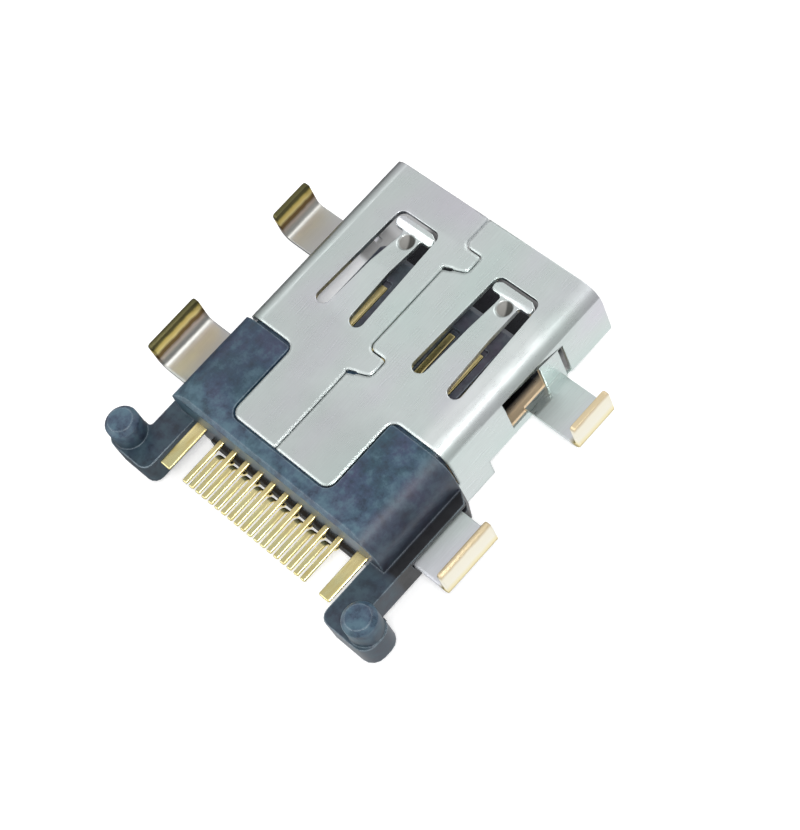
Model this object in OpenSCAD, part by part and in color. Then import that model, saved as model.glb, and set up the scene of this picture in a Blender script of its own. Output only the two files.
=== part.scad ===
// Shielded charging port connector, 19 contacts, for a board cut-out.
// It lies board side up: locating posts and solder legs point to +Z, the mouth faces -Y.
// Millimetres. Places along the part are depths behind the mouth plane; build() centres them.

/* [Shell] */
// Outer width of the shell
shell_w = 14.6; // [13:0.1:18]
// Outer height of the shell
shell_h = 5.15; // [4.8:0.05:7]
// Thickness of the stamped sheet
sheet_t = 0.3; // [0.2:0.05:0.4]
// Outer radius of the two bends on the board side
bend_r = 1.1; // [0.5:0.1:1.6]
// Width and height of the two slanted corners on the narrow side
slant = 1.45; // [0.8:0.05:2]
// Depth at which the side walls end on the board side
side_len = 11.4; // [10.2:0.05:13]
// Depth at which the slanted corners end and the walls drop straight
skirt_start = 9.4; // [9:0.1:10]
// Height of the lower edge of the straight walls
skirt_z = 0.3; // [0.1:0.02:0.6]
// Depth at which the centre flap and the lower rails end
flap_len = 16.15; // [14:0.05:18]
// Width of the centre flap
flap_w = 7.2; // [5:0.1:9]
// Corner radius of the flap and its notches
flap_r = 0.55; // [0.2:0.05:1]

/* [Seam] */
// Sideways place of the seam where the folded sheet closes
seam_x = 0.25; // [-1:0.01:1]
// Width of the open seam
seam_gap = 0.1; // [0.04:0.01:0.15]
// Depth of the front side of the front lock tab
lock_front = 1.93; // [1.5:0.01:4]
// Depth of the front side of the rear lock tab
lock_rear = 9.2; // [8:0.05:9.3]
// Length of a lock tab across the seam
lock_reach = 1.25; // [0.6:0.05:1.6]
// Width of a lock tab at its end
lock_w = 1.1; // [0.8:0.05:1.5]
// How much wider a lock tab is at its root, on its rear side
lock_slant = 0.5; // [0.1:0.05:0.7]
// Corner radii along a lock tab: front of the root, two at the end, rear of the root
lock_radii = [0.4, 0.2, 0.35, 0.12];
// Length and width of the relief slot at the rear of a tab's root
lock_relief = [0.42, 0.22];

/* [Spring fingers] */
// Sideways place of the middle of the window pair
window_mid = -0.38; // [-1:0.02:1]
// Distance between the middles of the two windows
window_pitch = 7.05; // [6:0.05:8]
// Depth of the front edge of a window
window_front = 2.15; // [1.8:0.05:3]
// Depth of the rear end of a window
window_rear = 8.8; // [7:0.05:9]
// Width of a window at its front edge
window_front_w = 2.9; // [2.4:0.05:3.4]
// Width of a window at its rear end
window_rear_w = 3.4; // [3:0.05:4]
// Width of a finger at its root
finger_root_w = 1.75; // [1.2:0.05:2]
// Width of a finger behind its lip
finger_tip_w = 1.5; // [1:0.05:1.8]
// How far a finger dips into the mouth
finger_dip = 0.45; // [0.3:0.05:0.6]
// Length of the lip along the part
lip_len = 0.7; // [0.4:0.05:1]
// Gap between the lip and the window
lip_gap = 0.12; // [0.05:0.01:0.3]
// Depth at which a finger's dimple lies, its inner radius and how far it is pressed in
dimple = [3.4, 0.65, 0.2];

/* [Wings and legs] */
// Height of the upper face of the wings
wing_top = 2.3; // [1.9:0.05:2.6]
// Distance from the middle plane to the inner face of a leg
leg_x = 10.65; // [9.5:0.05:13]
// Height of the leg ends
leg_top = 4.25; // [3:0.05:5]
// Inner bend radius between wing and leg
leg_bend = 0.35; // [0.2:0.05:0.8]
// Corner radius at the end of a leg
leg_round = 0.2; // [0.05:0.05:0.5]
// Front and rear edge of the front wings, as depths
front_wing = [3.7, 6.3];
// Front and rear edge of the rear wings, as depths
rear_wing = [12.4, 16];
// Side window above a front wing: front edge, rear edge and top
side_window = [4.75, 7.4, 4.45];
// Slit ahead of a front wing: front edge, rear edge, bottom and top
side_slit = [3.05, 3.4, 1.25, 4.1];

/* [Housing] */
// Outer width of the housing ears
ear_w = 15.3; // [13:0.1:18]
// Rounding of the ears' outer top edges
ear_r = 1.4; // [0.8:0.05:2]
// Gap between the shell edge and the ears
ear_gap = 0.2; // [0.05:0.05:0.4]
// Depth of the rear face
rear_face = 17.25; // [16.5:0.05:20]
// Bevel on the rear edge of the ears
rear_bevel = 0.22; // [0:0.02:0.5]
// Outer width across the shoulders that hold the rear wings
shoulder_w = 16.8; // [16:0.1:20]
// Depth at which the shoulders reach their full width
shoulder_front = 12.1; // [11.8:0.05:12.4]
// Height of the underside of shoulders and arms
arm_low = 0.95; // [0.4:0.05:1.5]
// Inner width between the arms
arm_inner_w = 13.3; // [12.6:0.1:14]
// Distance between the two locating posts
post_pitch = 18; // [16:0.1:20]
// Depth of the post centres
post_depth = 19.9; // [18:0.05:21]
// Diameter of a locating post
post_d = 1.9; // [1:0.05:1.95]
// Outer width across the two pads that carry the posts
pad_w = 19.96; // [19.9:0.02:24]
// Front and rear edge of a pad, as depths
pad = [18.95, 21];
// Radius of the outer corners of a pad
pad_r = 0.8; // [0.3:0.05:1.1]
// Height of the post tips
post_top = 4.15; // [3.2:0.05:6]
// Chamfer on a post tip
post_chamfer = 0.25; // [0.1:0.05:0.5]

/* [Tongue] */
// Depth of the tongue tip
tongue_tip = 3.6; // [3:0.1:5]
// Width of the tongue
tongue_w = 10.8; // [10.6:0.1:12]
// Thickness of the tongue
tongue_t = 1.25; // [1:0.05:1.6]
// Height of the tongue's middle
tongue_mid = 2.3; // [2:0.05:2.6]
// Lead-in chamfer on the tongue tip
tongue_lead = 0.3; // [0.1:0.05:0.5]
// Width, height and rear depth of the block that carries the tongue
carrier = [11.3, 3.3, 13.4];

/* [Contacts] */
// Seating height of tails, arms and shoulders against the board
seat_z = 2.6; // [2.5:0.05:3]
// Contacts in the upper row
upper_count = 10; // [2:1:10]
// Spacing of the contacts in a row
contact_pitch = 1; // [0.8:0.05:1.2]
// Width of a contact on the tongue
contact_w = 0.44; // [0.3:0.02:0.5]
// Width of a tail
tail_w = 0.34; // [0.2:0.02:0.4]
// Thickness of the contact strip
contact_t = 0.2; // [0.12:0.02:0.25]
// Depth of the contact noses
contact_front = 5.5; // [4.5:0.1:7]
// Depth of the tail ends
tail_end = 20.1; // [18.5:0.05:21]
// Height of the lower row where it leaves the housing
lower_exit = 1.3; // [1:0.05:1.8]
// Depth at which the lower tails have risen to the seating height
lower_rise = 18.45; // [18.4:0.05:19]
// Inner bend radius of the contacts
contact_bend = 0.15; // [0.1:0.05:0.4]
// Width, rear depth and top of the ledge that holds the lower row behind the rear face
ledge = [10.9, 18.05, 1.95];
// Width of the two ground strips beside the contacts
strip_w = 0.75; // [0.4:0.05:0.9]
// Gap between a ground strip and its arm
strip_gap = 0.2; // [0.05:0.05:0.3]
// Length of a ground strip inside the housing
strip_grip = 1.6; // [1:0.1:3]

/* [Fits] */
// Gap round a piece that is pushed into another
fit_gap = 0.05; // [0.02:0.01:0.15]
// Gap beside the centre flap in its recess
flap_gap = 0.12; // [0.05:0.01:0.3]

/* [Hidden] */
$fn = 40;
// Extra reach of cutting tools past a face
over = 0.5;
// Steps in a rounded corner
corner_steps = 4;
overall_len = pad[1];
half_w = shell_w/2;
inner_half = half_w - sheet_t;
roof_z = shell_h - sheet_t;
floor_half = half_w - slant;
ear_front = side_len + ear_gap;
mid_z = shell_h/2;
tongue_z = [tongue_mid - tongue_t/2, tongue_mid + tongue_t/2];
groove = contact_t;
upper_z = tongue_z[1] - contact_t/2;
lower_z = tongue_z[0] + contact_t/2;
tail_z = seat_z - contact_t/2;
step_at = carrier[2] + 0.6;
step_run = 0.7;
lower_count = upper_count - 1;
window_x = [window_mid - window_pitch/2, window_mid + window_pitch/2];
strip_x = arm_inner_w/2 - strip_gap - strip_w/2;

// Turns the vector v by a degrees.
function turned(v, a) = [v[0]*cos(a) - v[1]*sin(a), v[0]*sin(a) + v[1]*cos(a)];
// Unit vector along v.
function unit(v) = v/norm(v);
// Points of an arc of radius r that rounds corner p between its neighbours a and b.
function corner(a, p, b, r) =
    let (u = unit(a - p), v = unit(b - p), half = acos(u*v)/2)
    r == 0 || half > 89.9 ? [p] :
    let (c = p + unit(u + v)*r/sin(half), s = p + u*r/tan(half) - c,
         side = u[0]*v[1] - u[1]*v[0] > 0 ? -1 : 1)
    [for (i = [0:corner_steps]) c + turned(s, side*(180 - 2*half)*i/corner_steps)];
// An open path with each inner corner rounded to radius r.
function soften(pts, r) = [
    pts[0],
    for (i = [1:len(pts) - 2]) each corner(pts[i - 1], pts[i], pts[i + 1], r),
    pts[len(pts) - 1]];
// A closed outline whose corner i is rounded to radii[i].
function rounded(pts, radii) = let (n = len(pts)) [
    for (i = [0:n - 1]) each corner(pts[(i + n - 1) % n], pts[i], pts[(i + 1) % n], radii[i])];
// Mitred normal of an open path at point i.
function mitre(pts, i) =
    let (n = len(pts), a = unit(pts[max(i, 1)] - pts[max(i, 1) - 1]),
         b = unit(pts[min(i + 1, n - 1)] - pts[min(i + 1, n - 1) - 1]), m = unit(a + b))
    [-m[1], m[0]]/(m*a);

// A strip of thickness t that follows an open path.
module band(pts, t) {
    n = len(pts);
    polygon([for (i = [0:n - 1]) pts[i] + mitre(pts, i)*t/2,
             for (i = [n - 1:-1:0]) pts[i] - mitre(pts, i)*t/2]);
}

// Carries a cross-section (x, z) from one depth to another.
module along(from, to) {
    translate([0, to, 0]) rotate([90, 0, 0]) linear_extrude(to - from) children();
}

// Carries a side view (depth, z) across the width w, about the middle plane.
module across(w) {
    translate([-w/2, 0, 0]) rotate([90, 0, 90]) linear_extrude(w) children();
}

// Carries a plan (x, depth) from one height to another.
module upright(from, to) {
    translate([0, 0, from]) linear_extrude(to - from) children();
}

module block(x, y, z) {
    translate([x[0], y[0], z[0]]) cube([x[1] - x[0], y[1] - y[0], z[1] - z[0]]);
}

module both_sides() {
    children();
    mirror([1, 0, 0]) children();
}

// Mouth section, inset by t from the outer face.
module mouth_section(t) {
    // a slanted wall moved inwards by t shifts its ends by t*(sqrt(2) - 1)
    s = slant + t*(sqrt(2) - 1) - t;
    w = half_w - t;
    polygon(rounded(
        [[-w, shell_h - t], [-w, t + s], [-w + s, t], [w - s, t], [w, t + s], [w, shell_h - t]],
        [bend_r - t, 0.4, 0.4, 0.4, 0.4, bend_r - t]));
}

// Section behind the mouth, open at the bottom, inset by t from the outer face.
module skirt_section(t, low) {
    w = half_w - t;
    polygon(rounded([[-w, shell_h - t], [-w, low], [w, low], [w, shell_h - t]],
                    [bend_r - t, 0, 0, bend_r - t]));
}

// Sheet folded to a tube, before anything is punched.
module folded_sheet() {
    along(0, skirt_start) difference() {
        mouth_section(0);
        mouth_section(sheet_t);
    }
    along(skirt_start, flap_len) difference() {
        skirt_section(0, skirt_z);
        skirt_section(sheet_t, skirt_z - over);
    }
    block([-floor_half, floor_half], [skirt_start - over, flap_len], [0, sheet_t]);
}

// What is left of the board side: full width at the mouth, then the centre flap.
module board_side_plan() {
    w = half_w + over;
    f = flap_w/2;
    polygon(rounded(
        [[-w, -over], [w, -over], [w, side_len], [f, side_len], [f, flap_len],
         [-f, flap_len], [-f, side_len], [-w, side_len]],
        [0, 0, 0, flap_r, flap_r, flap_r, flap_r, 0]));
}

// Waste behind the side walls, above the rails that carry the rear wings.
module notch_waste() {
    w = half_w + over;
    upright(wing_top, shell_h + over) difference() {
        translate([-w, side_len - over]) square([2*w, flap_len - side_len + 2*over]);
        board_side_plan();
    }
}

// Outline of a lock tab in plan: square on its front side, slanted on its rear side.
function lock_path(front) = let (x = seam_x - lock_reach)
    [[seam_x, front], [x, front], [x, front + lock_w], [seam_x, front + lock_w + lock_slant]];

module seam_cut() {
    tabs = [lock_path(lock_front), lock_path(lock_rear)];
    path = concat([[seam_x, -over]], tabs[0], tabs[1], [[seam_x, flap_len + over]]);
    radii = concat([0], lock_radii, lock_radii, [0]);
    n = len(path);
    bent = [path[0], for (i = [1:n - 2]) each corner(path[i - 1], path[i], path[i + 1], radii[i]),
            path[n - 1]];
    upright(roof_z - over, shell_h + over) {
        band(bent, seam_gap);
        for (tab = tabs) {
            ends = [tab[3], tab[3] + unit(tab[2] - tab[3])*lock_relief[0]];
            band(ends, lock_relief[1]);
            for (end = ends) translate(end) circle(lock_relief[1]/2);
        }
    }
}

// Opening of one window, with its middle at x = 0.
module window_plan() {
    f = window_front_w/2;
    r = window_rear_w/2;
    g = finger_root_w/2;
    polygon(rounded(
        [[-f, window_front], [f, window_front], [r, window_rear], [g, window_rear],
         [g, window_rear - over], [-g, window_rear - over], [-g, window_rear], [-r, window_rear]],
        [0.45, 0.45, 0.4, 0.4, 0, 0, 0.4, 0.4]));
}

// Finger in plan: a taper from the root, with a wide lip at its end.
module finger_plan() {
    lip = window_front_w/2 - lip_gap;
    front = window_front + lip_gap;
    back = front + lip_len;
    t = finger_tip_w/2;
    g = finger_root_w/2;
    polygon(rounded(
        [[-lip, front], [lip, front], [lip, back], [t, back], [g, window_rear],
         [-g, window_rear], [-t, back], [-lip, back]],
        [0.4, 0.4, 0.15, 0.2, 0, 0, 0.2, 0.15]));
}

// Finger from the side: flat, then a dip with a lip that curls back up.
module finger_side() {
    z = shell_h - sheet_t/2;
    front = window_front + lip_gap;
    low = z - finger_dip;
    bottom = front + lip_len;
    band(soften([[window_rear, z], [window_rear - 3.4, z], [bottom + 0.45, low],
                 [bottom - 0.05, low], [front + 0.2, z - 0.1], [front, z - 0.05]], 0.3), sheet_t);
}

// Ball that presses a finger's dimple, larger by t.
module dimple_ball(t) {
    translate([0, dimple[0], shell_h - finger_dip + dimple[1] - dimple[2]]) sphere(dimple[1] + t);
}

module finger() {
    low = roof_z - finger_dip - over;
    difference() {
        union() {
            intersection() {
                upright(low, shell_h) finger_plan();
                across(window_front_w + over) finger_side();
            }
            intersection() {
                upright(low, roof_z - finger_dip + sheet_t/2) finger_plan();
                dimple_ball(sheet_t);
            }
        }
        dimple_ball(0);
    }
}

// Wing on +X that runs out of the wall and turns up into a solder leg.
module wing(span) {
    z = wing_top - sheet_t/2;
    x = leg_x + sheet_t/2;
    path = [[half_w - sheet_t/2, z], [x, z], [x, leg_top]];
    intersection() {
        along(span[0], span[1]) band(soften(path, leg_bend + sheet_t/2), sheet_t);
        translate([half_w - sheet_t, 0, 0]) rotate([90, 0, 90]) linear_extrude(x)
            polygon(rounded([[span[0], 0], [span[1], 0], [span[1], leg_top], [span[0], leg_top]],
                            [0, 0, leg_round, leg_round]));
    }
}

// Openings in the wall on +X beside a front wing.
module side_cuts() {
    x = [inner_half - over, half_w + over];
    block(x, [side_window[0], side_window[1]], [wing_top, side_window[2]]);
    block(x, [front_wing[1], side_window[1]], [wing_top - sheet_t, side_window[2]]);
    block(x, [side_slit[0], side_slit[1]], [side_slit[2], side_slit[3]]);
}

module shell() {
    color("silver") {
        difference() {
            folded_sheet();
            notch_waste();
            for (x = window_x) translate([x, 0, 0])
                upright(roof_z - over, shell_h + over) window_plan();
            seam_cut();
            both_sides() side_cuts();
        }
        for (x = window_x) translate([x, 0, 0]) finger();
        both_sides() {
            wing(front_wing);
            wing(rear_wing);
        }
    }
}

// Housing section behind the shell: ears on top, narrow between the rails below.
module ear_section() {
    e = ear_w/2;
    b = inner_half - fit_gap;
    z = wing_top + fit_gap;
    polygon(rounded(
        [[-e, shell_h], [-e, z], [-b, z], [-b, sheet_t], [b, sheet_t], [b, z], [e, z], [e, shell_h]],
        [ear_r, 0, 0, 0, 0, 0, 0, ear_r]));
}

// Housing section inside the shell.
module plug_section() {
    b = inner_half - fit_gap;
    r = bend_r - sheet_t;
    polygon(rounded([[-b, roof_z - fit_gap], [-b, sheet_t], [b, sheet_t], [b, roof_z - fit_gap]],
                    [r, 0, 0, r]));
}

// Shoulder and arm on +X in plan, ending in the pad that carries the post.
module arm_plan() {
    s = shoulder_w/2;
    a = arm_inner_w/2;
    p = pad_w/2;
    polygon(rounded(
        [[a, ear_front], [ear_w/2, ear_front], [s, shoulder_front], [s, pad[0]], [p, pad[0]],
         [p, pad[1]], [a, pad[1]]],
        [0, 0, 0.2, 0.2, pad_r, pad_r, 0.6]));
}

// Post with a chamfered tip, standing on its pad.
module post() {
    r = post_d/2;
    translate([post_pitch/2, post_depth, 0]) rotate_extrude()
        polygon([[0, arm_low + over], [r, arm_low + over], [r, post_top - post_chamfer],
                 [r - post_chamfer, post_top], [0, post_top]]);
}

// Slot for the rail and the rear wing on +X, open at the front.
module wing_slot() {
    y = [rear_wing[0] - over, rear_wing[1] + fit_gap];
    block([inner_half - fit_gap, half_w + fit_gap], [ear_front - over, flap_len + fit_gap],
          [arm_low - over, wing_top + fit_gap]);
    block([half_w, shoulder_w/2 + over], y,
          [wing_top - sheet_t - fit_gap, wing_top + fit_gap]);
}

// Recess that takes the centre flap level with the ears.
module flap_recess() {
    f = flap_w/2 + flap_gap;
    y = flap_len + flap_gap;
    r = flap_r + flap_gap;
    g = f + ear_gap + over;
    upright(roof_z, shell_h + over)
        polygon(rounded(
            [[-g, ear_front - over], [g, ear_front - over], [g, ear_front], [f, ear_front],
             [f, y], [-f, y], [-f, ear_front], [-g, ear_front]],
            [0, 0, 0, ear_gap, r, r, ear_gap, 0]));
}

// Slots through the housing for one row of contacts, high ahead of the step and low behind it.
module row_slots(xs, ahead_z, exit_z, exit_at) {
    t = contact_t/2 + fit_gap;
    low = min(ahead_z, exit_z) - t;
    high = max(ahead_z, exit_z) + t;
    w = contact_w/2 + fit_gap;
    for (x = xs) {
        block([x - w, x + w], [carrier[2] - over, step_at + step_run + contact_t], [low, high]);
        block([x - w, x + w], [step_at + step_run, exit_at + over], [exit_z - t, exit_z + t]);
    }
}

module housing() {
    cw = carrier[0]/2 + fit_gap;
    ch = carrier[1]/2 + fit_gap;
    color("darkslategray") difference() {
        union() {
            along(skirt_start, ear_front + over) plug_section();
            intersection() {
                along(ear_front, rear_face) ear_section();
                across(ear_w + over) polygon(
                    [[ear_front, 0], [rear_face, 0], [rear_face, shell_h - rear_bevel],
                     [rear_face - rear_bevel, shell_h], [ear_front, shell_h]]);
            }
            block([-ledge[0]/2, ledge[0]/2], [rear_face - over, ledge[1]], [arm_low, ledge[2]]);
            both_sides() {
                upright(arm_low, seat_z) arm_plan();
                post();
            }
        }
        flap_recess();
        both_sides() wing_slot();
        block([-cw, cw], [skirt_start - over, carrier[2]], [mid_z - ch, mid_z + ch]);
        row_slots(row_x(upper_count), upper_z, tail_z, rear_face);
        row_slots(row_x(lower_count), lower_z, lower_exit, ledge[1]);
        both_sides() block([strip_x - strip_w/2 - fit_gap, strip_x + strip_w/2 + fit_gap],
                           [rear_face - strip_grip - fit_gap, rear_face + over],
                           [tail_z - contact_t/2 - fit_gap, tail_z + contact_t/2 + fit_gap]);
    }
}

// Sideways places of a row of n contacts.
function row_x(n) = [for (i = [0:n - 1]) (i - (n - 1)/2)*contact_pitch];

module tongue() {
    tw = tongue_w/2;
    cw = carrier[0]/2;
    g = contact_w/2 + fit_gap;
    color("dimgray") difference() {
        union() {
            across(tongue_w) polygon(
                [[tongue_tip, tongue_z[0] + tongue_lead], [tongue_tip + tongue_lead, tongue_z[0]],
                 [carrier[2], tongue_z[0]], [carrier[2], tongue_z[1]],
                 [tongue_tip + tongue_lead, tongue_z[1]], [tongue_tip, tongue_z[1] - tongue_lead]]);
            block([-cw, cw], [skirt_start, carrier[2]],
                  [mid_z - carrier[1]/2, mid_z + carrier[1]/2]);
        }
        for (x = row_x(upper_count)) {
            block([x - g, x + g], [contact_front - 0.3, carrier[2] + over],
                  [tongue_z[1] - groove, tongue_z[1] + fit_gap]);
        }
        for (x = row_x(lower_count)) {
            block([x - g, x + g], [contact_front - 0.3, carrier[2] + over],
                  [tongue_z[0] - fit_gap, tongue_z[0] + groove]);
        }
    }
}

// One contact from a blade path and a tail path that share a stretch inside the housing.
module contact(x, blade, tail) {
    color("gold") translate([x, 0, 0]) {
        across(contact_w) band(soften(blade, contact_bend + contact_t/2), contact_t);
        across(tail_w) band(soften(tail, contact_bend + contact_t/2), contact_t);
    }
}

module upper_contact(i) {
    blade = [[contact_front, upper_z], [step_at, upper_z], [step_at + step_run, tail_z],
             [rear_face - strip_grip/2, tail_z]];
    tail = [[rear_face - strip_grip, tail_z], [(rear_face + tail_end)/2, tail_z], [tail_end, tail_z]];
    contact(row_x(upper_count)[i], blade, tail);
}

module lower_contact(i) {
    blade = [[contact_front, lower_z], [step_at, lower_z], [step_at + step_run, lower_exit],
             [rear_face - strip_grip/2, lower_exit]];
    rise = tail_z - lower_exit;
    tail = [[rear_face - strip_grip, lower_exit], [lower_rise - rise*0.15, lower_exit],
            [lower_rise, tail_z], [tail_end, tail_z]];
    contact(row_x(lower_count)[i], blade, tail);
}

module ground_strip() {
    color("gold") block([strip_x - strip_w/2, strip_x + strip_w/2],
                        [rear_face - strip_grip, tail_end],
                        [tail_z - contact_t/2, tail_z + contact_t/2]);
}

// Puts the middle of the length on the origin.
module build() {
    translate([0, -overall_len/2, 0]) children();
}

upper_names = [for (i = [1:upper_count]) str("contact_upper_", i)];
lower_names = [for (i = [1:lower_count]) str("contact_lower_", i)];

build() shell();
build() housing();
build() tongue();
build() mirror([1, 0, 0]) ground_strip();  // ground_strip_left
build() ground_strip();  // ground_strip_right
for (i = [0:upper_count - 1])
    build() upper_contact(i);
for (i = [0:lower_count - 1])
    build() lower_contact(i);
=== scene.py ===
"""Looks of a charging port connector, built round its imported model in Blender.

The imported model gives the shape. This file rounds the edges of the stamped shell and
of the moulded parts, slims the shell's spring fingers, shortens the ledge under the
tails, and replaces the contact strips with coined and plated ones. It gives each piece
its finish, and sets the floor, the lamps and the camera.

The frame is the part's own: x to the right, y from the mouth to the rear, z up, about
the middle of the part. Depth is the distance behind the mouth. Lengths are in
millimetres unless a docstring says otherwise; Blender's meshes and sockets hold metres.
"""

import sys
import logging
import math
from dataclasses import dataclass, field
from enum import Enum

import bmesh
import bpy
import numpy as np
from mathutils import Matrix, Vector


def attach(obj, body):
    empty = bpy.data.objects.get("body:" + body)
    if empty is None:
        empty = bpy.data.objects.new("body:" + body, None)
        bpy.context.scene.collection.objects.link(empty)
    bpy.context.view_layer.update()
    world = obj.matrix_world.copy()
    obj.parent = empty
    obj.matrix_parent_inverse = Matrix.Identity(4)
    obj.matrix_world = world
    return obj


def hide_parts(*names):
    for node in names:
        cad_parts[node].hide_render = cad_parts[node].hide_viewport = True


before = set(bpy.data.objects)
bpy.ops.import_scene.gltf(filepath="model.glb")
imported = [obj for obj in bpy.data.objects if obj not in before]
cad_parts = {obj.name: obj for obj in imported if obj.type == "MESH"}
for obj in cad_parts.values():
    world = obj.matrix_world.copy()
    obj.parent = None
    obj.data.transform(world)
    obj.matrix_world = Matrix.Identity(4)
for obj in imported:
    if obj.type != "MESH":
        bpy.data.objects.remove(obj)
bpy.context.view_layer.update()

MM = 0.001
BODY = "root"
LENGTH = 21.0  # overall, from the mouth to the rearmost faces
FINGERS_X = (-3.905, 3.145)  # middles of the two spring fingers
SAME_POINT = 0.0001  # points closer than this are one
FLAT_DEG = 0.3  # facets that turn less than this are joined
STRAIGHT_DEG = 179.0  # a corner wider than this isn't rounded
WHITE = (1.0, 1.0, 1.0, 1.0)

log = logging.getLogger("connector")

Socket = bpy.types.NodeSocket
Colour = tuple[float, float, float]
Point = tuple[float, float, float]
Span = tuple[float, float]
Line = tuple[float, float, float, float]  # low, high, to_low and to_high of Graph.spread
Stops = tuple[tuple[float, Colour], ...]


def in_metres(span: Span) -> Span:
    """The two ends of a span of millimetres, in metres."""
    return span[0] * MM, span[1] * MM


class Slot(Enum):
    """Material slots of the record that a piece can take its finish from."""

    SHELL = "shell"
    HOUSING = "housing"
    TONGUE = "tongue"
    CONTACT = "contact"


class Row(Enum):
    """The two rows of contacts on the tongue."""

    UPPER = "upper"
    LOWER = "lower"


# ---- node graphs ----


class Graph:
    """Node tree of a material or world, with short calls that add and join its nodes."""

    def __init__(self, owner: bpy.types.ID, output: str = "ShaderNodeOutputMaterial") -> None:
        """Starts an empty tree that holds only the output node.

        Args:
            owner: The material or world that the tree belongs to.
            output: Blender's name for the output node.
        """
        owner.use_nodes = True
        self.owner = owner
        self.tree = owner.node_tree
        self.tree.nodes.clear()
        self.output = self.tree.nodes.new(output)

    def add(self, kind: str, values: dict | None = None, **settings: object) -> bpy.types.Node:
        """Adds one node.

        Args:
            kind: Blender's name for the node type.
            values: Input sockets by name or index: a number, a colour, or a socket to join.
            settings: Properties of the node itself.

        Returns:
            The new node.
        """
        node = self.tree.nodes.new(kind)
        for key, value in settings.items():
            setattr(node, key, value)
        for key, value in (values or {}).items():
            if isinstance(value, Socket):
                self.tree.links.new(value, node.inputs[key])
            else:
                node.inputs[key].default_value = value
        return node

    def spread(self, value: Socket, low: float, high: float,
               to_low: float = 0.0, to_high: float = 1.0) -> Socket:
        """Maps low..high to to_low..to_high in a straight line, held at both ends.

        Args:
            value: The value to map.
            low: Input that gives to_low.
            high: Input that gives to_high.
            to_low: Result at low.
            to_high: Result at high.

        Returns:
            The mapped value socket.
        """
        return self.add("ShaderNodeMapRange", {
            "Value": value, "From Min": low, "From Max": high,
            "To Min": to_low, "To Max": to_high}).outputs[0]

    def sum(self, kind: str, a: object, b: object = 0.0) -> Socket:
        """One arithmetic step between two values, such as ADD or MAXIMUM."""
        return self.add("ShaderNodeMath", {0: a, 1: b}, operation=kind).outputs[0]

    def product(self, first: object, *others: object) -> Socket:
        """Product of two or more values.

        Args:
            first: A number or a socket.
            others: Numbers or sockets.

        Returns:
            The value socket.
        """
        for other in others:
            first = self.sum("MULTIPLY", first, other)
        return first

    def dot(self, a: object, b: object) -> Socket:
        """Dot product of two vectors, each three numbers or a socket."""
        node = self.add("ShaderNodeVectorMath", {0: a, 1: b}, operation="DOT_PRODUCT")
        return node.outputs["Value"]

    def ramp(self, value: Socket, stops: Stops) -> Socket:
        """Colour ramp through the given stops.

        Args:
            value: Place along the ramp, 0 to 1.
            stops: Pairs of place and colour, in rising order.

        Returns:
            The colour socket.
        """
        node = self.add("ShaderNodeValToRGB", {"Fac": value})
        band = node.color_ramp
        while len(band.elements) < len(stops):
            band.elements.new(1.0)
        for element, (at, colour) in zip(band.elements, stops):
            element.position = at
            element.color = (*colour, 1.0)
        return node.outputs["Color"]

    def blend(self, share: object, a: object, b: object) -> Socket:
        """Colour that goes from a to b as share goes from 0 to 1.

        Args:
            share: A number or a value socket.
            a: A colour of three numbers, or a colour socket.
            b: A colour of three numbers, or a colour socket.

        Returns:
            The colour socket.
        """
        a, b = ((*c, 1.0) if isinstance(c, tuple) else c for c in (a, b))
        return self.add("ShaderNodeMix", {0: share, 6: a, 7: b}, data_type="RGBA").outputs[2]

    def rolled(self, radius: object) -> Socket:
        """Normal that turns smoothly across every edge, as if rounded.

        Args:
            radius: Radius in metres, a number or a socket.

        Returns:
            The normal socket.
        """
        return self.add("ShaderNodeBevel", {"Radius": radius}, samples=6).outputs["Normal"]

    def edges(self, normal: Socket, low: float, high: float) -> Socket:
        """Share from 0 to 1 that rises near edges, where 1 - n.m goes from low to high.

        n is the rolled normal and m the plain one.

        Args:
            normal: The rolled normal.
            low: Turn at which the share leaves 0.
            high: Turn at which the share reaches 1.

        Returns:
            The share socket.
        """
        plain = self.add("ShaderNodeNewGeometry").outputs["Normal"]
        return self.spread(self.sum("SUBTRACT", 1.0, self.dot(normal, plain)), low, high)

    def bump(self, height: Socket, depth_mm: float, strength: float = 1.0,
             base: Socket | None = None) -> Socket:
        """Normal that follows a fine relief.

        Args:
            height: The relief, 0 to 1.
            depth_mm: Its depth.
            strength: Share of the relief that shows.
            base: Optional normal that the relief lies on.

        Returns:
            The normal socket.
        """
        values = {"Height": height, "Distance": depth_mm * MM, "Strength": strength}
        if base is not None:
            values["Normal"] = base
        return self.add("ShaderNodeBump", values).outputs["Normal"]

    def shade(self, colour: object, roughness: object, normal: Socket | None = None,
              **sockets: object) -> bpy.types.Material:
        """Ends the tree with one physically based surface.

        Args:
            colour: Base colour, three numbers or a socket.
            roughness: A number or a socket.
            normal: Optional bumped normal.
            sockets: Other sockets of the surface by name, with _ for a space.

        Returns:
            The finished material.
        """
        base = (*colour, 1.0) if isinstance(colour, tuple) else colour
        values = {"Base Color": base, "Roughness": roughness}
        if normal is not None:
            values["Normal"] = normal
        values.update({name.replace("_", " "): value for name, value in sockets.items()})
        surface = self.add("ShaderNodeBsdfPrincipled", values)
        self.tree.links.new(surface.outputs[0], self.output.inputs["Surface"])
        return self.owner


# ---- finishes ----


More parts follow.
